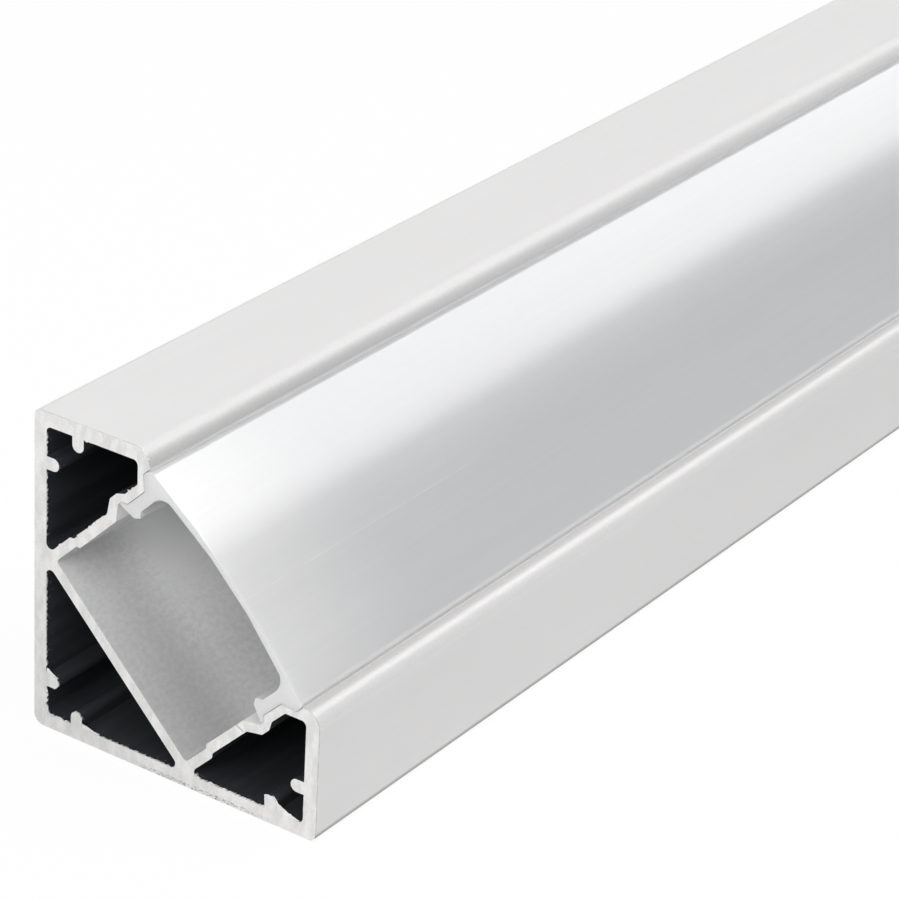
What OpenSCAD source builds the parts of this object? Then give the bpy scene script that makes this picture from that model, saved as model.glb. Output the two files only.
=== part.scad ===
/* [Stock] */
// Length of the bar
stock_length = 1000; // [100:50:3000]
// Outer width and height of the square that the profile fills
section_size = 30; // [28:0.5:36]
// Thickness of the two outer walls and of the legs they carry
wall = 1.3; // [1:0.05:1.6]

/* [Corners] */
// Radius of the outer corner where the two walls meet
back_corner_r = 1; // [0.4:0.1:2]
// Radius of the outer corners where a wall meets its leg
leg_corner_r = 0.6; // [0.2:0.1:1.2]
// Radius of the rounding over the tip of each leg
lip_r = 1.65; // [1:0.05:2]
// Radius of the inner corners of the hollow chambers
chamber_r = 0.5; // [0.2:0.05:0.6]

/* [Channel] */
// Clear width of the channel between its side webs
channel_w = 19.3; // [17:0.1:20]
// Thickness of the metal between a corner of the channel floor and the inside of the wall
floor_corner_t = 1.1; // [0.9:0.05:1.4]
// Thickness of the channel floor
floor_t = 1.05; // [0.8:0.05:1.5]
// Thickness of the side webs between the channel and the chambers
web_t = 0.92; // [0.7:0.02:1.1]
// How far the foot of each side web stands back from the channel
foot_step = 0.3; // [0.1:0.05:0.5]
// Height of that foot above the channel floor
foot_h = 3; // [2:0.1:4]

/* [Snap mouth] */
// How far the snap rail stands back from the side web
rail_step = 0.6; // [0.4:0.05:0.8]
// Height of the snap rail's face
rail_h = 2.4; // [1.8:0.1:2.6]
// How far the snap groove cuts in behind the rail's face
undercut = 0.45; // [0.35:0.05:0.6]
// Height of the snap groove at its back
groove_h = 0.6; // [0.5:0.05:0.8]
// Thickness of the metal around the groove and behind the rail
mouth_t = 0.78; // [0.65:0.01:0.9]
// Width of the shoulder that the cover's flange sits on
shoulder_w = 1.2; // [0.9:0.05:1.4]
// Depth of the recess between the leg tip and the shoulder
lip_depth = 0.95; // [0.7:0.05:1.2]
// Thickness of the metal between the shoulder and the side chamber
leg_end_t = 0.55; // [0.5:0.05:0.8]

/* [End cap ribs] */
// Distance from each outer face to the middle of a rib
rib_inset = 4.65; // [3.6:0.05:6]
// Height of a rib above the wall that carries it
rib_h = 1.35; // [0.8:0.05:1.6]
// Thickness of a rib
rib_t = 1.2; // [0.8:0.05:1.4]

/* [Cover] */
// Thickness of the cover at its middle
cover_t = 0.5; // [0.4:0.05:0.8]
// Rise of the cover's outer arc over its edges
cover_rise = 1; // [0.6:0.05:1.4]
// Rise of the cover's inner arc over its legs
hollow_rise = 0.9; // [0.6:0.05:1.3]
// Thickness of each snap leg
leg_t = 1.1; // [0.8:0.05:1.3]
// Radius of the cover's outer edges
cover_edge_r = 0.75; // [0.2:0.05:0.8]
// Radius of the inner corner between the arc and a leg
cover_corner_r = 1.5; // [0.6:0.1:1.8]
// Height of the barb's tip at the end of each leg
barb_h = 0.35; // [0.25:0.05:0.4]
// Rise of the foot's underside from the barb to the toe
foot_rise = 0.5; // [0.3:0.05:0.8]
// Height of the toe's face
toe_h = 0.6; // [0.4:0.05:0.8]
// How far the toe's face leans back at its lower edge
toe_lean = 0.35; // [0.1:0.05:0.5]
// How far the toe reaches into the channel
toe_reach = 0.45; // [0.2:0.05:0.6]
// Clearance between the cover and the profile
fit_gap = 0.05; // [0.03:0.01:0.12]

/* [Hidden] */

$fn = 64;
big_arc_fn = 360;
r2 = sqrt(2);

// Slopes of the shoulder, of the rail's underside and of the ramp below the groove
shoulder_slope = 0.85;
hook_slope = 0.9;
ramp_slope = 1.25;

// Half widths are measured from the diagonal that the section is symmetric about
channel_half = channel_w / 2;
foot_half = channel_half + foot_step;
rail_half = channel_half + rail_step;
groove_half = rail_half + undercut;
lip_half = rail_half + shoulder_w;

// Levels are measured along that diagonal from the outer corner
tip_level = (section_size - lip_r) * r2 - lip_half;
shoulder_level = tip_level - lip_depth;
rail_top = shoulder_level - shoulder_w * shoulder_slope;
rail_bottom = rail_top - rail_h;
groove_top = rail_bottom - undercut * hook_slope;
groove_bottom = groove_top - groove_h;
groove_foot = groove_bottom - (groove_half - channel_half) * ramp_slope;
floor_level = foot_half + (wall + floor_corner_t) * r2;
foot_top = floor_level + foot_h;
leg_end = section_size - lip_r - lip_half * r2;
chamber_end = (shoulder_level - lip_half) / r2 - leg_end_t;

web_back = channel_half + web_t;
foot_back = foot_half + web_t;
groove_back = groove_half + mouth_t;
rail_back = rail_half + mouth_t;

fine_r = 0.1;
small_r = 0.2;
bend_r = 0.35;

// How far cuts run on past the edges that they open, and wedges past their corners
cut_over = 2;
wedge_over = 1.3;

// The cover follows the mouth of the channel at the fit clearance
cover_half = lip_half - fit_gap;
leg_out = rail_half - fit_gap;
leg_in = leg_out - leg_t;
barb_half = groove_half - fit_gap;
flange_level = shoulder_level + fit_gap;
leg_top = rail_top + fit_gap / 2;
barb_root = rail_bottom - fit_gap / 2;
barb_top = groove_top - fit_gap / 2;
barb_level = barb_top - barb_h;
toe_level = barb_level + foot_rise;
toe_top = toe_level + toe_h;
edge_level = tip_level - fit_gap;
crown = edge_level + cover_rise;
hollow_level = crown - cover_t - hollow_rise;
outer_arc_r = (cover_half * cover_half + cover_rise * cover_rise) / (2 * cover_rise);
inner_arc_r = (leg_in * leg_in + hollow_rise * hollow_rise) / (2 * hollow_rise);

profile_grey = [0.87, 0.86, 0.85];
opal_white = [0.93, 0.94, 0.96];

// A point given by its distances from the two outer walls, seen along the diagonal
function diagonal(x, z, r) = [(x - z) / r2, (x + z) / r2, r];

// The same points on the other side of the diagonal, in the opposite order
function mirrored(points) = [
    for (i = [len(points) - 1 : -1 : 0])
        [-points[i][0], points[i][1], points[i][2]]
];

function flat(p) = [p[0], p[1]];
function unit(v) = v / norm(v);
function turn(a, b) = a[0] * b[1] - a[1] * b[0];

// One corner of an outline, as the wedge between the sharp corner and its arc
module corner_wedge(before, corner, after, r) {
    to_before = unit(before - corner);
    to_after = unit(after - corner);
    half_angle = acos(to_before * to_after) / 2;
    centre = corner + unit(to_before + to_after) * r / sin(half_angle);
    reach = r / tan(half_angle);
    difference() {
        polygon([
            centre,
            centre + (corner + to_before * reach - centre) * wedge_over,
            centre + (corner - centre) * wedge_over,
            centre + (corner + to_after * reach - centre) * wedge_over
        ]);
        translate(centre) circle(r = r);
    }
}

// The wedges of the outer corners (side 1) or of the inner corners (side -1)
module corner_wedges(points, side) {
    count = len(points);
    for (i = [0 : count - 1]) {
        before = flat(points[(i + count - 1) % count]);
        corner = flat(points[i]);
        after = flat(points[(i + 1) % count]);
        if (points[i][2] > 0 && side * turn(corner - before, after - corner) > 0)
            corner_wedge(before, corner, after, points[i][2]);
    }
}

// An anticlockwise outline whose points carry the radius of their own corner
module rounded_outline(points) {
    difference() {
        union() {
            polygon([for (p = points) flat(p)]);
            corner_wedges(points, -1);
        }
        corner_wedges(points, 1);
    }
}

// A full circle whose top lies at the given level
module disc_under(level, r) {
    translate([0, level - r]) circle(r = r, $fn = big_arc_fn);
}

// The outer walls and their legs, closed across the mouth
outer_side = [
    diagonal(section_size, 0, leg_corner_r),
    diagonal(section_size, leg_end, lip_r),
    [lip_half, tip_level, 0]
];

// The channel on one side, from above the mouth down to its floor
channel_side = [
    [foot_half, floor_level, bend_r],
    [foot_half, foot_top, small_r],
    [channel_half, foot_top + foot_step, small_r],
    [channel_half, groove_foot, small_r],
    [groove_half, groove_bottom, small_r],
    [groove_half, groove_top, small_r],
    [rail_half, rail_bottom, small_r],
    [rail_half, rail_top, small_r],
    [lip_half, shoulder_level, small_r],
    [lip_half, tip_level + cut_over, 0]
];

// The hollow between a side web, an outer wall and the leg that closes it
side_chamber = [
    [foot_back, wall * r2 + foot_back, chamber_r],
    diagonal(section_size - wall, wall, chamber_r),
    diagonal(section_size - wall, chamber_end, chamber_r),
    [rail_back, chamber_end * r2 + rail_back, bend_r],
    [rail_back, rail_bottom + mouth_t / 2, bend_r],
    [groove_back, groove_top, bend_r],
    [groove_back, groove_bottom - mouth_t / 2, bend_r],
    [web_back, groove_foot - mouth_t / 2, bend_r],
    [web_back, foot_top + foot_step, bend_r],
    [foot_back, foot_top, bend_r]
];

// The hollow between the two outer walls and the back of the channel floor
back_corner = [floor_level - floor_t - wall * r2, floor_level - floor_t, chamber_r];
back_chamber = concat([[0, wall * r2, chamber_r], back_corner], mirrored([back_corner]));

// The space under the cover on one side, from the arc down and round under the foot
hollow_side = [
    [barb_half + cut_over, barb_level - cut_over, 0],
    [barb_half, barb_level, 0],
    [leg_in - toe_reach + toe_lean, toe_level, fine_r],
    [leg_in - toe_reach, toe_top, fine_r],
    [leg_in, toe_top + toe_reach, small_r],
    [leg_in, crown - cover_t, 0]
];

// The space between a snap leg and the side of the cover's blank
leg_relief = [
    [barb_half, barb_level - cut_over, 0],
    [cover_half + cut_over, barb_level - cut_over, 0],
    [cover_half + cut_over, flange_level, 0],
    [cover_half, flange_level, 0],
    [leg_out, leg_top, small_r],
    [leg_out, barb_root, fine_r],
    [barb_half, barb_top, fine_r]
];

module rib(x, z, angle) {
    translate([x, z]) rotate(angle) {
        translate([-rib_t / 2, -wall / 2]) square([rib_t, rib_h + wall / 2 - rib_t / 2]);
        translate([0, rib_h - rib_t / 2]) circle(d = rib_t);
    }
}

// The ribs that grip the pins of an end cap, two near each closed corner
module end_cap_ribs() {
    near = rib_inset;
    far = section_size - rib_inset;
    inner = section_size - wall;
    rib(near, wall, 0);
    rib(far, wall, 0);
    rib(wall, near, -90);
    rib(wall, far, -90);
    rib(near, inner, 180);
    rib(inner, near, 90);
}

module body_section() {
    difference() {
        rotate(-45) rounded_outline(concat([[0, 0, back_corner_r]], outer_side, mirrored(outer_side)));
        rotate(-45) rounded_outline(concat(channel_side, mirrored(channel_side)));
        rotate(-45) rounded_outline(side_chamber);
        rotate(-45) rounded_outline(mirrored(side_chamber));
        rotate(-45) rounded_outline(back_chamber);
    }
    end_cap_ribs();
}

// The cover's blank: its full width, under the outer arc, with rounded top edges
module cover_blank() {
    edge_angle = asin(cover_half / outer_arc_r);
    difference() {
        intersection() {
            disc_under(crown, outer_arc_r);
            translate([-cover_half, barb_level]) square([2 * cover_half, crown]);
        }
        for (side = [1, -1])
            corner_wedge(
                [side * cover_half, barb_level],
                [side * cover_half, edge_level],
                [side * (cover_half - cos(edge_angle)), edge_level + sin(edge_angle)],
                cover_edge_r
            );
    }
}

// The space inside the cover, between its legs and under its inner arc
module cover_hollow() {
    hollow_angle = asin(leg_in / inner_arc_r);
    difference() {
        intersection() {
            rounded_outline(concat(hollow_side, mirrored(hollow_side)));
            disc_under(crown - cover_t, inner_arc_r);
        }
        for (side = [1, -1])
            corner_wedge(
                [side * leg_in, barb_level],
                [side * leg_in, hollow_level],
                [side * (leg_in - cos(hollow_angle)), hollow_level + sin(hollow_angle)],
                cover_corner_r
            );
    }
}

module cover_section() {
    rotate(-45) difference() {
        cover_blank();
        cover_hollow();
        rounded_outline(leg_relief);
        rounded_outline(mirrored(leg_relief));
    }
}

// Lays a section down with its length along Y and its middle over the origin
module bar(bar_length) {
    translate([-section_size / 2, 0, 0])
        rotate([90, 0, 0])
            linear_extrude(height = bar_length, center = true) children();
}

module profile_body() {
    color(profile_grey) bar(stock_length) body_section();
}

module diffuser_cover() {
    color(opal_white) bar(stock_length) cover_section();
}

profile_body();
diffuser_cover();
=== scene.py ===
"""Looks of a corner LED strip profile: anodised extrusion, sawn ends, opal snap-in cover."""
import math
import random

import bmesh
import bpy
from mathutils import Matrix, Vector


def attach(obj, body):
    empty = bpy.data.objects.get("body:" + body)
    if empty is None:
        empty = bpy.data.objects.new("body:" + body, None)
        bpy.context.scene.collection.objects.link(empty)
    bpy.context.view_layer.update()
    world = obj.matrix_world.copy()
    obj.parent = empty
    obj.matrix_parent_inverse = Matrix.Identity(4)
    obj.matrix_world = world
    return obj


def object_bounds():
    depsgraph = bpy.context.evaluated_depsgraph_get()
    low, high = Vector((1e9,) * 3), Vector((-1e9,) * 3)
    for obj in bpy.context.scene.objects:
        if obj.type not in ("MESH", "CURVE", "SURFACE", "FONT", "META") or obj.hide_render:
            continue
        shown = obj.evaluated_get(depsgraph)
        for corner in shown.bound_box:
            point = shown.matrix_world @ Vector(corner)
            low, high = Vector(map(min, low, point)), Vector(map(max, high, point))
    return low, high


MM = 0.001
ROOT2 = math.sqrt(2)

# The section's sizes, in millimetres from the outer corner of its two walls
SECTION = 30.0
WALL = 1.3
FLOOR_BACK = 12.29
FLOOR_FRONT = 13.34
CHANNEL_HALF = 9.65
WEB_T = 0.92
GROOVE_LOW = 21.9
GROOVE_HIGH = 24.4
LEG_END_INSIDE = 10.93
LIP_HALF = 11.45
LIP_TIP = 28.64
BEND_START = 10.55
CHAMBER_R = 0.5
CHAMBER_CORNER = WALL + CHAMBER_R
RIB_INSET = 4.65
RIB_TIP = 2.05
RIB_HALF = 0.6
FLOOR_MIDDLE = (FLOOR_BACK + FLOOR_FRONT) / 2
WEB_MIDDLE = CHANNEL_HALF + WEB_T / 2
CHANNEL_TOP = GROOVE_HIGH + 2.5
CHAMBER_END = LEG_END_INSIDE + 0.25
SEAT_HALF = LIP_HALF + 0.02
# Where the web bulges out by 1 round the snap groove, and where it then steps back a little
BULGE_START = GROOVE_LOW - 0.3
BULGE_RUN = 1.4
STEP_START = GROOVE_HIGH - 0.5
STEP_RUN = 0.6
STEP_BACK = 0.45

# The colour or the grey level of each surface, in linear light
OUTER_COLOUR = (0.822, 0.813, 0.811, 1)
SAWN_LEVEL = 0.94
# The channel's levels near the cuts and deep inside are painted shade and painted light
CHANNEL_NEAR_PAINTED_SHADE = 0.62
CHANNEL_DEEP_PAINTED_LIGHT = 0.94
# The seat in the lips' joint is painted lighter, as painted light in its shade
SEAT_PAINTED_LIGHT_LEVEL = 0.96
COVER_COLOUR = (0.585, 0.589, 0.604, 1)
# The cover is painted lighter near the cuts, as painted light from the open ends
COVER_NEAR_PAINTED_LIGHT_COLOUR = (0.695, 0.696, 0.7, 1)
COVER_END_COLOUR = (0.85, 0.85, 0.85, 1)
# The cover's upper flank and lower edge are painted lighter, as painted light in the joint's shade
COVER_FLANK_PAINTED_LIGHT_COLOUR = (0.68, 0.685, 0.69, 1)
COVER_LOW_EDGE_PAINTED_LIGHT_COLOUR = (0.88, 0.88, 0.87, 1)
# The cover's inside is painted lighter, as painted light in the channel
COVER_INSIDE_PAINTED_LIGHT_COLOUR = (0.93, 0.93, 0.93, 1)
HAIRLINE_LEVEL = 0.9
# The chambers' walls are painted near-black, as painted shade
CHAMBER_PAINTED_SHADE_COLOUR = (0.034, 0.037, 0.042, 1)
FLECK_LEVEL = 0.6
# The upper fin is painted lighter and the lower one darker, as painted light and shade
UPPER_FIN_PAINTED_LIGHT_LEVEL = 0.84
LOWER_FIN_PAINTED_SHADE_LEVEL = 0.42
# How much of their level the lips keep in their bends, and how much their tips lose or keep, as
# painted shade
UPPER_BEND = 0.93
UPPER_TIP_PAINTED_SHADE = 0.24
FAR_PAINTED_SHADE_SHARE = 0.2
LOWER_BEND = 0.92
LOWER_TIP = 0.81
# How much of their level other places keep, or lose at most; the channel's, the corner's and the
# foot's are painted light and shade
CHANNEL_PAINTED_LIGHT_AND_SHADE = (1.14, 0.9)
CORNER_PAINTED_SHADE_KEEPS = 0.87
FOOT_PAINTED_SHADE_KEEPS = 0.62
RIM_LOSS = 0.28
NICK_LOSS = 0.6
SCRATCH_LOSS = 0.4
SPECK_LOSS = 0.25

# The metal: how it mirrors, how rough it is, and its fine relief, by lines and by grain
METAL_IOR = 1.22
METAL_SHARE = 0.08
METAL_ROUGH = (0.54, 0.62)
DULL_ROUGHER = 0.14
LIP_POLISH = 0.16
METAL_RELIEF = 0.008 * MM
LINE_SHARE = 0.25
GRAIN_SHARE = 1.6
BURR_METAL_SHARE = 0.3
BURR_ROUGH = (0.45, 0.6)
BURR_RELIEF = 0.01 * MM
# The cover: how it mirrors, how far light spreads in it, how rough it is, and its relief
COVER_IOR = 1.5
SCATTER_LENGTH = 1.8 * MM
SAWN_SCATTER = 0.4
COVER_ROUGH = (0.16, 0.21)
FROSTED_ROUGHER = 0.4
COVER_RELIEF = 0.004 * MM
FINE_SHARE = 0.2
FIN_ROUGH = (0.35, 0.45)

# A face is sawn when its direction's Y is over this, and inside when its X plus Z is under this
SAWN_FACING = 0.9
INSIDE_FACING = -0.3

# Marks, fins and burrs, in millimetres
# The cover's long hairline: how far from the middle, its half width and where it fades
HAIRLINE_AT = 1.6
HAIRLINE_HALF = 0.03
HAIRLINE_FADE = (26, 44)
# Where across the cover its upper flank, painted lighter as light in the joint's shade, ends, and
# its lower edge, painted lighter the same way, begins
PAINTED_FLANK_END = 0.3 - LIP_HALF
PAINTED_LOW_EDGE_FADE = (LIP_HALF - 0.75, LIP_HALF - 0.2)
# A scratch on the lower web's sawn end: its X and Z added, its length, slope and half width
SCRATCH_AT = 29.6
SCRATCH_LENGTH = 1.1
SCRATCH_SLOPE = -0.35
SCRATCH_HALF = 0.1
# The nicks along the sawn end's lower edge: how high they reach, and where they set in and end
NICK_HEIGHT = 0.38
NICKS_BEGIN = (8.5, 16)
NICKS_END = (27.5, 20)
# The height over which the painted shade along the right face's foot fades out
FOOT_PAINTED_SHADE_FADE = (0.5, 0.85)
# How far past the start of its bend each lip's painted shade sets in, in the bend and at its tip
UPPER_BEND_FADE = (0.3, 0.9)
UPPER_TIP_FADE = (1.0, 1.6)
LOWER_BEND_FADE = (0.0, 0.6)
LOWER_TIP_FADE = (1.1, 1.5)
# How far behind the cuts the dark rim, the torn flecks and the cover's painted light near the cut
# end
RIM_DEPTH = 0.12
FLECK_DEPTH = 2.0
COVER_PAINTED_LIGHT_DEPTH = 20.0
# How far behind the cuts the channel turns from its painted shade to its painted light deep
# inside, and the upper tip's painted shade grows lighter
CHANNEL_PAINTED_FADE = (4.5, 11.0)
TIP_FADE = (10.0, 115.0)
# X less Z over which the channel's level falls, from painted light on its upper side to painted
# shade on its lower side
CHANNEL_PAINTED_SLANT = (-13, 10)
# The cover's edge fins: how far inside the cuts they end, where they lie below the lips' tips
FIN_INSET = 0.3
FIN_TOP = 0.3
FIN_FOOT = 0.8
FIN_WIDTH = 0.24
FIN_FOOT_WIDTH = 0.03
# Burrs: their step, the height above which one is a solid lump, their root, lean and depth
BURR_STEP = 0.16
SOLID_BURR = 0.5
BURR_ROOT = 0.06
BURR_LEAN = 0.06
BURR_RECESS = 0.004
BURR_DEPTH = (0.12, 0.4)
# Shares of a burr's greatest height, and the seed and the steps that its run is made with
BURR_SHARES = (0.05, 0.25, 0.45, 0.7, 1.0)
RECESSED_SHARES = (0.1, 0.3, 0.5, 0.7, 1.0)
BURR_SEED = 7
RUN_STEPS = 8

# The lamps over the bar: distance in metres, and the elevations of their edges in degrees
LAMP_DISTANCE = 0.9
LAMP_EDGES = (55, 80)
OVERHEAD_LENGTH = 4.6
OVERHEAD_RADIANCE = 2.72
# The softboxes that gloss mirrors, from the near end on: length along the bar, and radiance
ROW_START = -0.2
SOFTBOXES = ((0.7, 6.7), (0.25, 6.2), (0.25, 5.5), (0.4, 4.6), (1.6, 3.2))
# The lamp in front: azimuth and elevation from the near end, distance, size and radiance
FRONT_ANGLES = (15, 30)
FRONT_DISTANCE = 2.2
FRONT_SIZE = 1.2
FRONT_RADIANCE = 2.66
# The ambient light on matt faces, against 1 for what the camera and gloss see
AMBIENT = 0.4
# The floor: half its width in metres, how far it lies below the bar, its paint and its glow
GROUND_REACH = 6.0
GROUND_DROP = 0.1 * MM
GROUND_LEVEL = 0.65
GROUND_GLOW = 1.03
GLOW_SHARE = 0.92

# The camera, at the photograph's viewing angle
LENS = 150.31
CAMERA_FROM_CORNER = (180.8, -211.1, 167.3)
CAMERA_AZIMUTH = 33.51
CAMERA_ELEVATION = 26.75
CAMERA_ROLL = 3.22
CLIP_RANGE = (0.01, 50)

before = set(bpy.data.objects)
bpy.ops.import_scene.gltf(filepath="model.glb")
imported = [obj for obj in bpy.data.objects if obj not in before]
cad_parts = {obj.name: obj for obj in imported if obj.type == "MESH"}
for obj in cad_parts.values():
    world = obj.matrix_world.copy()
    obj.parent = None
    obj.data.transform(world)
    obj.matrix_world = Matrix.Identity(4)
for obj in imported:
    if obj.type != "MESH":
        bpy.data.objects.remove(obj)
cad_low, cad_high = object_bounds()
BAR_HALF = float(cad_high[1])


def direction(azimuth, elevation):
    """A unit vector towards a point seen from the object, azimuth 0 along -Y and 90 along +X."""
    a, e = math.radians(azimuth), math.radians(elevation)
    return Vector((math.sin(a) * math.cos(e), -math.cos(a) * math.cos(e), math.sin(e)))


def make_camera():
    """The camera near the sawn end, looking along the bar's open corner."""
    data = bpy.data.cameras.new("camera")
    data.lens = LENS
    data.clip_start, data.clip_end = CLIP_RANGE
    camera = bpy.data.objects.new("camera", data)
    back = direction(CAMERA_AZIMUTH, CAMERA_ELEVATION)
    right = Vector((0, 0, 1)).cross(back).normalized()
    up = back.cross(right)
    axes = Matrix((right, up, back)).transposed()
    roll = Matrix.Rotation(math.radians(CAMERA_ROLL), 3, "Z")
    camera.matrix_world = (axes @ roll).to_4x4()
    near_corner = Vector((-SECTION / 2 * MM, -BAR_HALF, 0))
    camera.location = near_corner + Vector(CAMERA_FROM_CORNER) * MM
    bpy.context.scene.collection.objects.link(camera)
    bpy.context.scene.camera = camera


class Nodes:
    """A node tree with short calls for the nodes that the materials share."""

    def __init__(self, tree):
        self.tree = tree
        tree.nodes.clear()

    def new(self, kind, **values):
        node = self.tree.nodes.new(kind)
        for name, value in values.items():
            setattr(node, name, value)
        return node

    def link(self, source, target):
        self.tree.links.new(source, target)

    def feed(self, socket, value):
        """Links a socket, or sets a number or as much of a colour as it holds."""
        if isinstance(value, bpy.types.NodeSocket):
            self.link(value, socket)
        elif isinstance(value, tuple):
            socket.default_value = value[:len(socket.default_value)]
        else:
            socket.default_value = value

    def math(self, operation, a, b=0.0, clamp=False):
        node = self.new("ShaderNodeMath", operation=operation, use_clamp=clamp)
        for socket, value in zip(node.inputs, (a, b)):
            self.feed(socket, value)
        return node.outputs[0]

    def times(self, *values):
        result = values[0]
        for value in values[1:]:
            result = self.math("MULTIPLY", result, value)
        return result

    def above(self, value, level):
        return self.math("GREATER_THAN", value, level)

    def below(self, value, level):
        return self.math("LESS_THAN", value, level)

    def both(self, *values):
        """1 where all the masks are 1."""
        return self.times(*values)

    def either(self, *values):
        """1 where any of the masks is 1."""
        result = values[0]
        for value in values[1:]:
            result = self.math("MAXIMUM", result, value)
        return result

    def ramp(self, value, low, high, to_low=0.0, to_high=1.0):
        """The value's stretch from low to high, spread smoothly over two new levels."""
        node = self.new("ShaderNodeMapRange", interpolation_type="SMOOTHSTEP")
        for name, number in (("Value", value), ("From Min", low), ("From Max", high),
                             ("To Min", to_low), ("To Max", to_high)):
            self.feed(node.inputs[name], number)
        return node.outputs[0]

    def vary(self, noise, to_low, to_high):
        """Two levels, between which a noise goes back and forth."""
        return self.ramp(noise, 0.3, 0.7, to_low, to_high)

    def noise(self, vector, scale, detail=2.0, stretch=(1, 1, 1), roughness=0.5):
        """Noise over the object's own coordinates in millimetres, drawn out along its axes."""
        mapping = self.new("ShaderNodeMapping")
        self.link(vector, mapping.inputs["Vector"])
        mapping.inputs["Scale"].default_value = stretch
        node = self.new("ShaderNodeTexNoise")
        self.link(mapping.outputs[0], node.inputs["Vector"])
        node.inputs["Scale"].default_value = scale
        node.inputs["Detail"].default_value = detail
        node.inputs["Roughness"].default_value = roughness
        return node.outputs["Fac"]

    def mix(self, factor, a, b):
        node = self.new("ShaderNodeMix", data_type="RGBA")
        self.feed(node.inputs["Factor"], factor)
        self.feed(node.inputs["A"], a)
        self.feed(node.inputs["B"], b)
        return node.outputs["Result"]

    def shade(self, colour, factor):
        """A colour made lighter or darker by a factor."""
        node = self.new("ShaderNodeVectorMath", operation="SCALE")
        self.feed(node.inputs[0], colour)
        self.feed(node.inputs["Scale"], factor)
        return node.outputs[0]

    def bump(self, height, distance):
        node = self.new("ShaderNodeBump")
        node.inputs["Strength"].default_value = 1.0
        node.inputs["Distance"].default_value = distance
        self.link(height, node.inputs["Height"])
        return node.outputs[0]

    def true_normal(self):
        """The X, Y and Z of the face's own direction."""
        parts = self.new("ShaderNodeSeparateXYZ")
        self.link(self.new("ShaderNodeNewGeometry").outputs["True Normal"], parts.inputs[0])
        return parts.outputs

    def surface(self, shader, kind="ShaderNodeOutputMaterial"):
        """Makes a shader the surface of the material or the world."""
        self.link(shader.outputs[0], self.new(kind).inputs["Surface"])


def grey(level, warm=0.0):
    """A neutral colour, made slightly warmer or cooler."""
    return (level * (1 + warm), level, level * (1 - warm), 1)


def new_material(name):
    material = bpy.data.materials.new(name)
    material.use_nodes = True
    return material, Nodes(material.node_tree)


def millimetres(n):
    """The object's own coordinates in millimetres, and its X, Y and Z from the outer corner."""
    place = n.new("ShaderNodeTexCoord").outputs["Object"]
    scaled = n.new("ShaderNodeVectorMath", operation="SCALE")
    n.link(place, scaled.inputs[0])
    scaled.inputs["Scale"].default_value = 1 / MM
    parts = n.new("ShaderNodeSeparateXYZ")
    n.link(scaled.outputs[0], parts.inputs[0])
    x = n.math("ADD", parts.outputs[0], SECTION / 2)
    return scaled.outputs[0], x, parts.outputs[1], parts.outputs[2]


def behind_cut(n, y):
    """How far a point lies behind the nearer cut, in millimetres."""
    return n.math("SUBTRACT", BAR_HALF / MM, n.math("ABSOLUTE", y))


def web_middle(n, along):
    """How far from the diagonal the middle of a web runs, with its bulge round the snap groove."""
    out = n.math("MULTIPLY", n.math("SUBTRACT", along, BULGE_START), 1 / BULGE_RUN, clamp=True)
    back = n.math("MULTIPLY", n.math("SUBTRACT", along, STEP_START), 1 / STEP_RUN, clamp=True)
    middle = n.math("ADD", WEB_MIDDLE, out)
    return n.math("SUBTRACT", middle, n.math("MULTIPLY", back, STEP_BACK))


def chamber_zone(n, x, z, across, along):
    """1 on the walls of the three hollow chambers."""
    back = n.both(n.above(x, WALL / 2), n.above(z, WALL / 2), n.below(along, FLOOR_MIDDLE))
    side = n.both(n.above(x, WALL / 2), n.above(z, WALL / 2),
                  n.below(x, SECTION - WALL / 2), n.below(z, SECTION - WALL / 2),
                  n.below(n.math("MINIMUM", x, z), CHAMBER_END),
                  n.above(across, web_middle(n, along)))
    return n.either(back, side)


def channel_zone(n, across, along):
    """1 on the walls and the floor of the channel."""
    return n.both(n.above(along, FLOOR_MIDDLE), n.below(along, CHANNEL_TOP),
                  n.below(across, WEB_MIDDLE))


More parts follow.
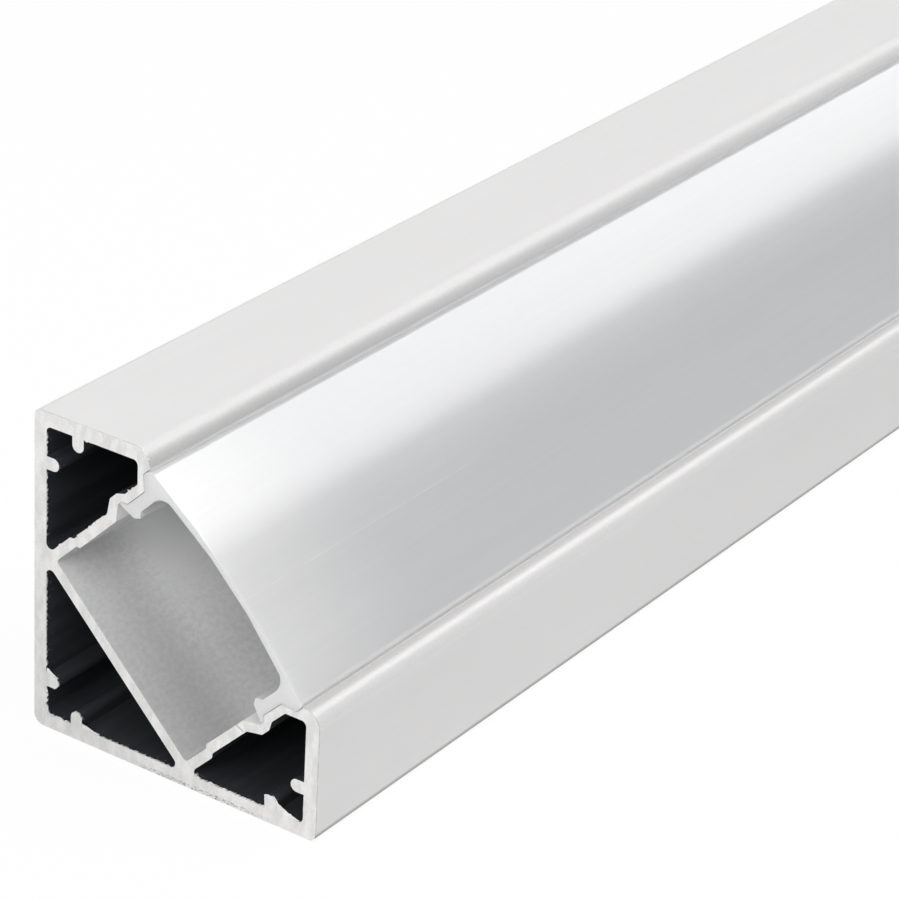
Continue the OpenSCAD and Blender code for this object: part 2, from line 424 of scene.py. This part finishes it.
def sawn_surface(n, place, x, z):
    """The colour and the height of metal that a saw has cut: mottled, grained and scratched, with
    painted shade towards the outer corner.
    """
    grain = n.noise(place, 7.0, detail=4, roughness=0.7)
    smear = n.noise(place, 0.9, detail=3, stretch=(1, 1, 0.45), roughness=0.6)
    marks = n.noise(place, 2.5, detail=2, stretch=(0.35, 1, 4))
    # Painted shade, darker towards the outer corner of the two walls
    shaded = n.ramp(n.math("ADD", x, z), 0, SECTION, CORNER_PAINTED_SHADE_KEEPS, 1.0)
    level = n.times(n.ramp(smear, 0.34, 0.66, 0.89, 1.04), n.ramp(grain, 0.32, 0.68, 0.92, 1.04),
                    shaded, n.ramp(marks, 0.35, 0.65, 0.985, 1.01))
    low_edge = n.both(n.below(z, NICK_HEIGHT), n.ramp(x, *NICKS_BEGIN), n.ramp(x, *NICKS_END))
    nicks = n.noise(place, 2.6, detail=4, stretch=(1, 1, 2.5), roughness=0.75)
    nicked = n.both(low_edge, n.ramp(nicks, 0.5, 0.56))
    slant = n.math("SUBTRACT", n.math("SUBTRACT", x, z), CHANNEL_HALF * ROOT2)
    reach = n.math("ADD", n.math("ADD", x, z), n.math("MULTIPLY", slant, SCRATCH_SLOPE))
    off_line = n.math("ABSOLUTE", n.math("SUBTRACT", reach, SCRATCH_AT))
    scratch = n.both(n.above(slant, 0.0), n.below(slant, SCRATCH_LENGTH),
                     n.below(off_line, SCRATCH_HALF))
    specks = n.noise(place, 1.7, detail=5, stretch=(1, 1, 1.6), roughness=0.8)
    dark = n.either(n.math("MULTIPLY", nicked, NICK_LOSS),
                    n.math("MULTIPLY", scratch, SCRATCH_LOSS),
                    n.ramp(specks, 0.64, 0.7, 0.0, SPECK_LOSS))
    level = n.math("MULTIPLY", level, n.math("SUBTRACT", 1.0, dark))
    colour = n.shade(grey(SAWN_LEVEL, 0.008), level)
    height = n.math("ADD", n.math("MULTIPLY", grain, GRAIN_SHARE), marks)
    return colour, height


def upper_lip(n, past_bend, depth):
    """The painted shade on the upper lip in its bend and at its tip, which is darker near the cut.
    """
    bend = n.ramp(past_bend, *UPPER_BEND_FADE, 1.0, UPPER_BEND)
    loss = n.math("MULTIPLY", n.ramp(past_bend, *UPPER_TIP_FADE, 0.0, UPPER_TIP_PAINTED_SHADE),
                  n.ramp(depth, *TIP_FADE, 1.0, FAR_PAINTED_SHADE_SHARE))
    return n.math("MULTIPLY", bend, n.math("SUBTRACT", 1.0, loss))


def lower_lip(n, past_bend):
    """The painted shade on the lower lip in its bend and at its tip."""
    return n.math("MULTIPLY", n.ramp(past_bend, *LOWER_BEND_FADE, 1.0, LOWER_BEND),
                  n.ramp(past_bend, *LOWER_TIP_FADE, 1.0, LOWER_TIP))


def outer_surface(n, place, y, z, past_bend, lower):
    """The colour and the height of the satin outer faces, with fine dark edges, and painted shade
    in the lips' bends and tips and along the right face's foot.
    """
    drawn = n.noise(place, 3.0, detail=4, stretch=(1, 0.01, 1))
    cloudy = n.noise(place, 0.12, detail=2, stretch=(1, 0.25, 1))
    satin = n.noise(place, 9.0, detail=3, roughness=0.7)
    even = n.times(n.vary(drawn, 0.994, 1.004), n.vary(cloudy, 0.99, 1.01),
                   n.vary(satin, 0.985, 1.012))
    depth = behind_cut(n, y)
    at_cut = n.both(n.below(depth, RIM_DEPTH),
                    n.ramp(n.noise(place, 0.8, detail=3), 0.35, 0.6, 0.25, 1.0))
    rim = n.math("SUBTRACT", 1.0, n.math("MULTIPLY", at_cut, RIM_LOSS))
    # Painted shade, darker towards the bottom of the right face
    foot = n.ramp(z, *FOOT_PAINTED_SHADE_FADE, FOOT_PAINTED_SHADE_KEEPS, 1.0)
    grain = n.vary(n.noise(place, 4.5, detail=3, roughness=0.7), -0.03, 0.025)
    grain = n.math("MULTIPLY", grain, n.ramp(past_bend, 0.0, 0.5))
    # Painted shade in the lips' bends and tips
    lips = n.mix(lower, upper_lip(n, past_bend, depth), lower_lip(n, past_bend))
    colour = n.shade(OUTER_COLOUR, n.times(even, rim, foot, lips, n.math("ADD", 1.0, grain)))
    height = n.math("ADD", n.math("MULTIPLY", drawn, LINE_SHARE), satin)
    return colour, height


def chamber_surface(n, place, y):
    """Hollows painted near-black as shade, with torn bright flecks just inside the cuts."""
    dark = n.noise(place, 0.8, detail=2, stretch=(1, 0.1, 1))
    colour = n.shade(CHAMBER_PAINTED_SHADE_COLOUR, n.vary(dark, 0.85, 1.15))
    flecks = n.noise(place, 4.5, detail=4, stretch=(1, 0.6, 1), roughness=0.75)
    reach = n.ramp(behind_cut(n, y), 0.0, FLECK_DEPTH, 0.58, 0.78)
    torn = n.ramp(n.math("SUBTRACT", flecks, reach), 0.0, 0.05, 0.0, 0.3)
    return n.mix(torn, colour, grey(FLECK_LEVEL))


def channel_surface(n, place, x, y, z):
    """The duller, mottled channel. It is painted darker near the cuts, lighter deep inside and
    lighter on its upper side than on its lower, as painted light and shade that make it read the
    same from its lit edge to its deep side.
    """
    mottle = n.noise(place, 2.6, detail=4, stretch=(1, 0.6, 1), roughness=0.6)
    level = n.mix(n.ramp(behind_cut(n, y), *CHANNEL_PAINTED_FADE), grey(CHANNEL_NEAR_PAINTED_SHADE, -0.002),
                  grey(CHANNEL_DEEP_PAINTED_LIGHT, -0.002))
    level = n.shade(level, n.vary(mottle, 0.94, 1.06))
    return n.shade(level, n.ramp(n.math("SUBTRACT", x, z), *CHANNEL_PAINTED_SLANT, *CHANNEL_PAINTED_LIGHT_AND_SHADE))


def anodised_aluminium():
    """Satin anodised extrusion, with sawn ends, a duller channel evened out with painted light and
    shade, a seat painted lighter as light, and chambers painted near-black as shade.
    """
    material, n = new_material("satin_anodised_aluminium")
    place, x, y, z = millimetres(n)
    across = n.math("ABSOLUTE", n.math("DIVIDE", n.math("SUBTRACT", x, z), ROOT2))
    along = n.math("DIVIDE", n.math("ADD", x, z), ROOT2)
    sawn = n.above(n.math("ABSOLUTE", n.true_normal()[1]), SAWN_FACING)
    sides = n.math("SUBTRACT", 1.0, sawn)
    chamber = n.both(sides, chamber_zone(n, x, z, across, along))
    channel = n.both(sides, channel_zone(n, across, along))
    painted_light_seat = n.both(sides, n.above(along, GROOVE_LOW), n.below(across, SEAT_HALF))

    past_bend = n.math("SUBTRACT", n.math("MINIMUM", x, z), BEND_START)
    lower = n.above(x, z)
    outer_colour, outer_height = outer_surface(n, place, y, z, past_bend, lower)
    sawn_colour, sawn_height = sawn_surface(n, place, x, z)
    colour = n.mix(sawn, outer_colour, sawn_colour)
    # The channel gets its painted light and shade
    colour = n.mix(channel, colour, channel_surface(n, place, x, y, z))
    # The seat in the joint gets its painted light
    colour = n.mix(painted_light_seat, colour, grey(SEAT_PAINTED_LIGHT_LEVEL))
    # The chambers' walls get their painted near-black shade
    colour = n.mix(chamber, colour, chamber_surface(n, place, y))

    shader = n.new("ShaderNodeBsdfPrincipled")
    n.link(colour, shader.inputs["Base Color"])
    bright = n.math("SUBTRACT", 1.0, n.either(chamber, channel))
    n.link(n.math("MULTIPLY", bright, METAL_SHARE), shader.inputs["Metallic"])
    shader.inputs["IOR"].default_value = METAL_IOR
    rough = n.ramp(outer_height, 0.5, 1.0, *METAL_ROUGH)
    rough = n.math("ADD", rough, n.math("MULTIPLY", n.either(sawn, chamber), DULL_ROUGHER))
    polish = n.both(lower, n.ramp(past_bend, *LOWER_BEND_FADE, 0.0, LIP_POLISH))
    rough = n.math("SUBTRACT", rough, polish)
    n.link(rough, shader.inputs["Roughness"])
    height = n.math("ADD", n.both(sides, outer_height), n.both(sawn, sawn_height))
    n.link(n.bump(height, METAL_RELIEF), shader.inputs["Normal"])
    n.surface(shader)
    return material


def torn_metal():
    """Bright bare metal for the burrs that the saw left."""
    material, n = new_material("torn_bare_metal")
    place, x, y, z = millimetres(n)
    colour, height = sawn_surface(n, place, x, z)
    shader = n.new("ShaderNodeBsdfPrincipled")
    n.link(colour, shader.inputs["Base Color"])
    shader.inputs["Metallic"].default_value = BURR_METAL_SHARE
    n.link(n.ramp(height, 0.8, 1.6, *BURR_ROUGH), shader.inputs["Roughness"])
    n.link(n.bump(height, BURR_RELIEF), shader.inputs["Normal"])
    n.surface(shader)
    return material


def opal_plastic():
    """Milky diffusing plastic: satin face, faint lines along its length, frosted sawn ends, and
    painted light near the cuts, on its flanks and on its inside.
    """
    material, n = new_material("opal_diffuser_plastic")
    place, x, y, z = millimetres(n)
    across = n.math("DIVIDE", n.math("SUBTRACT", x, z), ROOT2)
    normal_x, normal_y, normal_z = n.true_normal()
    sawn = n.above(n.math("ABSOLUTE", normal_y), SAWN_FACING)
    drawn = n.noise(place, 2.2, detail=3, stretch=(1, 0.008, 1))
    fine = n.noise(place, 9.0, detail=3)
    depth = behind_cut(n, y)
    # Painted light on the cover near the cuts
    smooth = n.mix(n.ramp(depth, 0.0, COVER_PAINTED_LIGHT_DEPTH), COVER_NEAR_PAINTED_LIGHT_COLOUR, COVER_COLOUR)
    smooth = n.shade(smooth, n.vary(drawn, 0.99, 1.008))
    broken = n.noise(place, 0.25, detail=3, stretch=(0.01, 1, 0.01))
    offset = n.math("ABSOLUTE", n.math("SUBTRACT", across, HAIRLINE_AT))
    hairline = n.both(n.below(offset, HAIRLINE_HALF), n.ramp(broken, 0.35, 0.6, 0.1, 0.32),
                      n.ramp(depth, *HAIRLINE_FADE, 1.0, 0.0))
    smooth = n.mix(hairline, smooth, grey(HAIRLINE_LEVEL))
    # Painted light on the cover's upper flank
    painted_light_flank = n.below(across, PAINTED_FLANK_END)
    smooth = n.mix(painted_light_flank, smooth, COVER_FLANK_PAINTED_LIGHT_COLOUR)
    # Painted light on the cover's lower edge
    low_edge = n.ramp(across, *PAINTED_LOW_EDGE_FADE)
    smooth = n.mix(low_edge, smooth, COVER_LOW_EDGE_PAINTED_LIGHT_COLOUR)
    # Painted light on the cover's inside
    inside = n.below(n.math("ADD", normal_x, normal_z), INSIDE_FACING)
    smooth = n.mix(inside, smooth, COVER_INSIDE_PAINTED_LIGHT_COLOUR)
    frosted = n.shade(COVER_END_COLOUR, n.vary(fine, 0.97, 1.03))
    colour = n.mix(sawn, smooth, frosted)
    shader = n.new("ShaderNodeBsdfPrincipled")
    n.link(colour, shader.inputs["Base Color"])
    shader.inputs["IOR"].default_value = COVER_IOR
    n.link(n.ramp(sawn, 0, 1, 1.0, SAWN_SCATTER), shader.inputs["Subsurface Weight"])
    shader.inputs["Subsurface Radius"].default_value = (1.0, 1.0, 1.0)
    shader.inputs["Subsurface Scale"].default_value = SCATTER_LENGTH
    rough = n.math("ADD", n.vary(drawn, *COVER_ROUGH), n.math("MULTIPLY", sawn, FROSTED_ROUGHER))
    n.link(rough, shader.inputs["Roughness"])
    height = n.math("ADD", drawn, n.math("MULTIPLY", fine, FINE_SHARE))
    n.link(n.bump(height, COVER_RELIEF), shader.inputs["Normal"])
    n.surface(shader)
    return material


def seen_white(n):
    """1 on rays from the camera, and on those that gloss and glass send out."""
    path = n.new("ShaderNodeLightPath")
    return n.either(path.outputs["Is Camera Ray"], path.outputs["Is Glossy Ray"],
                    path.outputs["Is Transmission Ray"])


def make_world():
    """Even studio light, seen as white."""
    world = bpy.data.worlds.new("studio")
    world.use_nodes = True
    n = Nodes(world.node_tree)
    mixed = n.new("ShaderNodeMixShader")
    n.link(seen_white(n), mixed.inputs[0])
    for socket, strength in zip(mixed.inputs[1:], (AMBIENT, 1.0)):
        background = n.new("ShaderNodeBackground")
        background.inputs["Color"].default_value = grey(1.0)
        background.inputs["Strength"].default_value = strength
        n.link(background.outputs[0], socket)
    n.surface(mixed, "ShaderNodeOutputWorld")
    bpy.context.scene.world = world


def make_floor():
    """A plain white floor that keeps a soft shadow."""
    reach = GROUND_REACH
    corners = [(-reach, -reach, 0), (reach, -reach, 0), (reach, reach, 0), (-reach, reach, 0)]
    mesh = bpy.data.meshes.new("floor")
    mesh.from_pydata(corners, [], [(0, 1, 2, 3)])
    floor = bpy.data.objects.new("floor", mesh)
    floor.location.z = -GROUND_DROP
    bpy.context.scene.collection.objects.link(floor)
    material, n = new_material("white_floor")
    paint = n.new("ShaderNodeBsdfDiffuse")
    paint.inputs["Color"].default_value = grey(GROUND_LEVEL)
    glow = n.new("ShaderNodeEmission")
    glow.inputs["Strength"].default_value = GROUND_GLOW
    mixed = n.new("ShaderNodeMixShader")
    n.link(n.math("MULTIPLY", seen_white(n), GLOW_SHARE), mixed.inputs[0])
    n.link(paint.outputs[0], mixed.inputs[1])
    n.link(glow.outputs[0], mixed.inputs[2])
    n.surface(mixed)
    mesh.materials.append(material)


def make_lamp(name, location, aim, width, height, radiance, mirrored=True, lights=True):
    """A rectangular soft lamp of a given radiance, that gloss mirrors, matt faces get, or both."""
    data = bpy.data.lights.new(name, "AREA")
    data.shape = "RECTANGLE"
    data.size = width
    data.size_y = height
    data.energy = radiance * math.pi * width * height
    lamp = bpy.data.objects.new(name, data)
    towards = Vector(location) - Vector(aim)
    lamp.location = location
    lamp.rotation_euler = towards.to_track_quat("Z", "Y").to_euler()
    lamp.visible_camera = False
    lamp.visible_glossy = mirrored
    lamp.visible_diffuse = lights
    bpy.context.scene.collection.objects.link(lamp)


def make_lights():
    """A graded row of softboxes that gloss mirrors, an even lamp along it, and one in front."""
    low_edge, high_edge = map(math.radians, LAMP_EDGES)
    middle = (low_edge + high_edge) / 2
    across = 2 * LAMP_DISTANCE * math.tan((high_edge - low_edge) / 2)
    x, z = LAMP_DISTANCE * math.cos(middle), LAMP_DISTANCE * math.sin(middle)
    start = ROW_START
    for number, (length, radiance) in enumerate(SOFTBOXES):
        along = start + length / 2
        make_lamp(f"softbox_{number}", (x, along, z), (0, along, 0), length, across, radiance,
                  lights=False)
        start += length
    make_lamp("overhead", (x, 0, z), (0, 0, 0), OVERHEAD_LENGTH, across, OVERHEAD_RADIANCE,
              mirrored=False)
    near_end = Vector((0, -BAR_HALF, 0))
    make_lamp("front", near_end + direction(*FRONT_ANGLES) * FRONT_DISTANCE, near_end,
              FRONT_SIZE, FRONT_SIZE, FRONT_RADIANCE)


def straight(start, end, inward):
    """A run of a chamber's edge from one point to another, with the way its burrs stick out."""
    shares = [step / RUN_STEPS for step in range(RUN_STEPS + 1)]
    return [(Vector(start).lerp(Vector(end), share), Vector(inward)) for share in shares]


def rounded(centre, radius, first, last, side=1):
    """A round run between two angles: a rib's tip, or with side -1 a chamber's corner."""
    angles = [first + (last - first) * step / RUN_STEPS for step in range(RUN_STEPS + 1)]
    turns = [math.radians(angle) for angle in angles]
    ways = [Vector((math.cos(turn), math.sin(turn))) for turn in turns]
    return [(Vector(centre) + way * radius, way * side) for way in ways]


# Edges that the saw tore: the run, the burrs' height at its start and end, and their recess
TORN_EDGES = [
    (straight((WALL, CHAMBER_CORNER), (WALL, 4.0), (1, 0)), 0.35, 0.2, 0.0),
    (straight((WALL, 5.9), (WALL, 9.5), (1, 0)), 0.12, 0.05, 0.0),
    (straight((WALL, 9.5), (WALL, 15.3), (1, 0)), 0.05, 0.07, 0.0),
    (rounded((CHAMBER_CORNER, CHAMBER_CORNER), CHAMBER_R, 180, 270, -1), 0.35, 0.3, 0.0),
    (straight((CHAMBER_CORNER, WALL), (4.0, WALL), (0, 1)), 0.3, 0.15, 0.0),
    (straight((WALL, RIB_INSET + RIB_HALF), (2.5, 5.1), (0.15, 0.99)), 0.75, 0.1, 0.0),
    (rounded((RIB_TIP, RIB_INSET), RIB_HALF, -80, 80), 0.12, 0.08, 0.0),
    (rounded((RIB_INSET, RIB_TIP), RIB_HALF, 0, 180), 0.1, 0.12, 0.0),
    (straight((5.2, WALL), (7.1, WALL), (0, 1)), 0.65, 0.06, 0.0),
    (straight((7.1, WALL), (14.8, WALL), (0, 1)), 0.05, 0.05, 0.0),
    (rounded((18.0, CHAMBER_CORNER), CHAMBER_R, 200, 270, -1), 0.15, 0.25, 0.0),
    (straight((18.0, WALL), (24.7, WALL), (0, 1)), 0.25, 0.14, 0.0),
    (rounded((SECTION - RIB_INSET, RIB_TIP), RIB_HALF, 0, 180), 0.3, 0.25, 0.0),
    (straight((25.9, WALL), (28.3, WALL), (0, 1)), 1.0, 0.1, 0.0),
    (straight((SECTION - WALL, CHAMBER_CORNER), (SECTION - WALL, 4.0), (-1, 0)), 0.08, 0.06, 0.0),
    (straight((WALL, 18.5), (WALL, 24.7), (1, 0)), 0.04, 0.08, 0.0),
    (straight((WALL, 26.0), (WALL, 28.2), (1, 0)), 0.1, 0.1, 0.0),
    (straight((2.2, 17.5), (3.6, 18.9), (-0.71, 0.71)), 0.2, 0.16, 0.25),
    (straight((4.4, 19.4), (7.6, 22.6), (-0.71, 0.71)), 0.1, 0.16, 0.25),
    (straight((9.7, 25.2), (10.9, 26.4), (-0.71, 0.71)), 0.28, 0.2, 0.3),
    (straight((5.2, SECTION - WALL), (6.2, SECTION - WALL), (0, -1)), 0.2, 0.05, 0.0),
    (rounded((10.5, 28.35), 1.65, 60, 0), 0.08, 0.14, 0.0),
]


def skin(mesh, rings):
    """Closes a row of three-cornered rings into one body."""
    for a, b in zip(rings, rings[1:]):
        for i in range(3):
            j = (i + 1) % 3
            mesh.faces.new((a[i], a[j], b[j], b[i]))
    mesh.faces.new(rings[0])
    mesh.faces.new(rings[-1])


def add_piece(mesh, name, material):
    """Turns a mesh into a visual piece of the bar."""
    bmesh.ops.recalc_face_normals(mesh, faces=mesh.faces)
    data = bpy.data.meshes.new(name)
    mesh.to_mesh(data)
    mesh.free()
    data.materials.append(material)
    piece = bpy.data.objects.new(name, data)
    bpy.context.scene.collection.objects.link(piece)
    return piece


def add_burr(mesh, rng, run, heights, recess, end):
    """A jagged sliver along one edge, thin at the cut and leaning back into the chamber."""
    length = sum((b[0] - a[0]).length for a, b in zip(run, run[1:]))
    steps = max(4, int(length / BURR_STEP))
    rings = []
    for step in range(steps + 1):
        share = step / steps
        place = share * (len(run) - 1)
        first = min(int(place), len(run) - 2)
        base = run[first][0].lerp(run[first + 1][0], place - first)
        way = run[first][1].lerp(run[first + 1][1], place - first).normalized()
        tallest = heights[0] + (heights[1] - heights[0]) * share
        height = tallest * rng.choice(BURR_SHARES) * rng.uniform(0.7, 1.0)
        if recess > 0:
            height = tallest * rng.choice(RECESSED_SHARES)
        if heights[0] > SOLID_BURR:
            height = tallest * rng.uniform(0.75, 1.0)
        depth = rng.uniform(*BURR_DEPTH)
        ring = []
        for out, back in ((-BURR_ROOT, 0.0), (height, rng.uniform(0.0, BURR_LEAN)),
                          (-BURR_ROOT / 2, depth)):
            spot = base + way * out
            y = end * (BAR_HALF / MM - BURR_RECESS - recess - back)
            ring.append(mesh.verts.new(((spot.x - SECTION / 2) * MM, y * MM, spot.y * MM)))
        rings.append(ring)
    skin(mesh, rings)


def edge_plastic():
    """The milky plastic of the cover's thin edge fins, painted lighter on the upper fin and darker
    on the lower one, as painted light and shade.
    """
    material, n = new_material("opal_edge_plastic")
    place, x, y, z = millimetres(n)
    drawn = n.noise(place, 2.2, detail=3, stretch=(1, 0.008, 1))
    shader = n.new("ShaderNodeBsdfPrincipled")
    # Painted light on the upper fin, painted shade on the lower one
    level = n.mix(n.above(x, z), grey(UPPER_FIN_PAINTED_LIGHT_LEVEL, -0.005), grey(LOWER_FIN_PAINTED_SHADE_LEVEL, -0.005))
    n.link(n.shade(level, n.vary(drawn, 0.93, 1.05)), shader.inputs["Base Color"])
    n.link(n.vary(drawn, *FIN_ROUGH), shader.inputs["Roughness"])
    n.surface(shader)
    return material


def make_edge_fins():
    """Thin fins along the cover's two edges, which close the joint to the lips."""
    outline = ((LIP_HALF, LIP_TIP - FIN_TOP), (LIP_HALF - FIN_WIDTH, LIP_TIP - FIN_TOP),
               (LIP_HALF - FIN_FOOT_WIDTH, LIP_TIP - FIN_FOOT))
    half = BAR_HALF / MM - FIN_INSET
    mesh = bmesh.new()
    for side in (-1, 1):
        rings = []
        for y in (-half, half):
            ring = []
            for across, along in outline:
                x = (along + side * across) / ROOT2 - SECTION / 2
                z = (along - side * across) / ROOT2
                ring.append(mesh.verts.new((x * MM, y * MM, z * MM)))
            rings.append(ring)
        skin(mesh, rings)
    fins = add_piece(mesh, "cover_edge_fins", edge_plastic())
    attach(fins, "root")


def make_burrs():
    """Burrs and bright chips that the saw left on the edges of the chambers, at both ends."""
    rng = random.Random(BURR_SEED)
    mesh = bmesh.new()
    for end in (-1, 1):
        for run, first, last, recess in TORN_EDGES:
            add_burr(mesh, rng, run, (first, last), recess, end)
    burrs = add_piece(mesh, "saw_burrs", torn_metal())
    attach(burrs, "root")


make_camera()
make_world()
make_floor()
make_lights()
make_burrs()
make_edge_fins()
finishes = {"profile_body": anodised_aluminium(), "diffuser_cover": opal_plastic()}
for node, finish in finishes.items():
    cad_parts[node].material_slots[0].link = "OBJECT"
    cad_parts[node].material_slots[0].material = finish

bpy.context.scene.view_settings.view_transform = "Standard"
